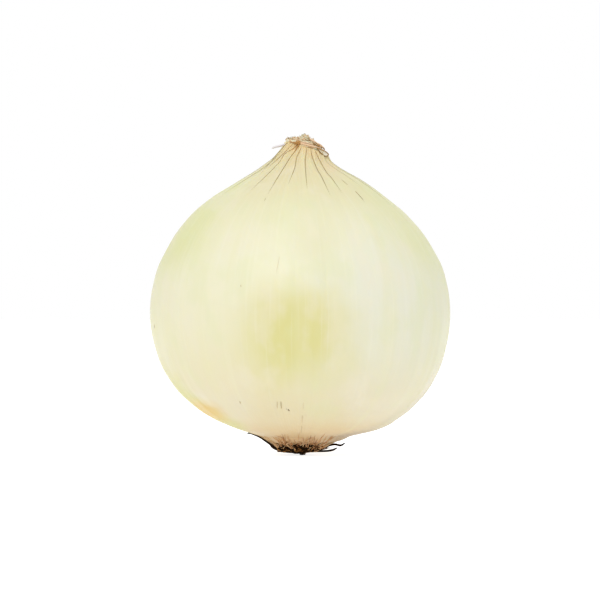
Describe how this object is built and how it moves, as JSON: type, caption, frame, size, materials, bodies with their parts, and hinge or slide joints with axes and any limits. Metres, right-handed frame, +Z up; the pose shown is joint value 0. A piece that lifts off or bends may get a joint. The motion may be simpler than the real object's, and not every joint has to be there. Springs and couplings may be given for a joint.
{
  "type": "onion",
  "caption": "Whole white bulb onion, trimmed at the neck and peeled to its first fleshy scale, standing on its root end.",
  "frame": {"origin": "on the surface that the onion stands on, under the middle of the bulb", "axes": "+Z up along the bulb from the roots to the neck, -Y towards the side that the picture shows"},
  "size_m": [0.08, 0.0789, 0.0859],
  "materials": {
    "bulb": "moist satin flesh",
    "dry_neck": "dry papery skin",
    "skin_fringe": "dry papery skin",
    "roots": "dry corky fibre"
  },
  "bodies": {
    "root": {"bulb": "bulb", "dry_neck": "dry_neck", "skin_fringe": "skin_fringe", "roots": "roots"}
  },
  "joints": []
}
